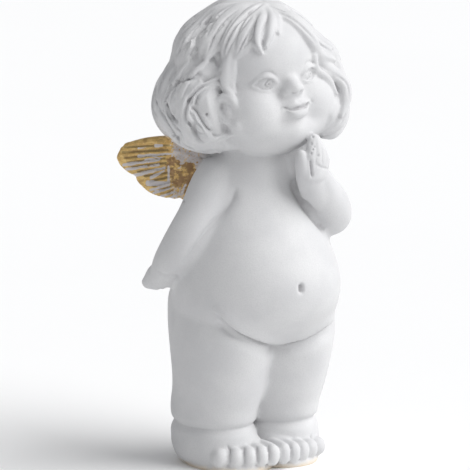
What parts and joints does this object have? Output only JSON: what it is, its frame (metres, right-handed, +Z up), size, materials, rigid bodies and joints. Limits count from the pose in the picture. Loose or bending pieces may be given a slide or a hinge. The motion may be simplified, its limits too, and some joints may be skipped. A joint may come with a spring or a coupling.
{
  "type": "cupid figurine",
  "caption": "Standing winged child figurine cast in white plaster, one hand raised to the chin, gold brushed on the wings.",
  "frame": {"origin": "on the ground under the middle of the figure, between the feet", "axes": "+Z up along the height, the figure faces -Y, its left side is +X"},
  "size_m": [0.0814, 0.0765, 0.1794],
  "materials": {
    "plaster": "matt white cast plaster with a fine grain, gold brushed on the wing feathers"
  },
  "bodies": {
    "root": {"cupid_figurine": "plaster"}
  },
  "joints": []
}
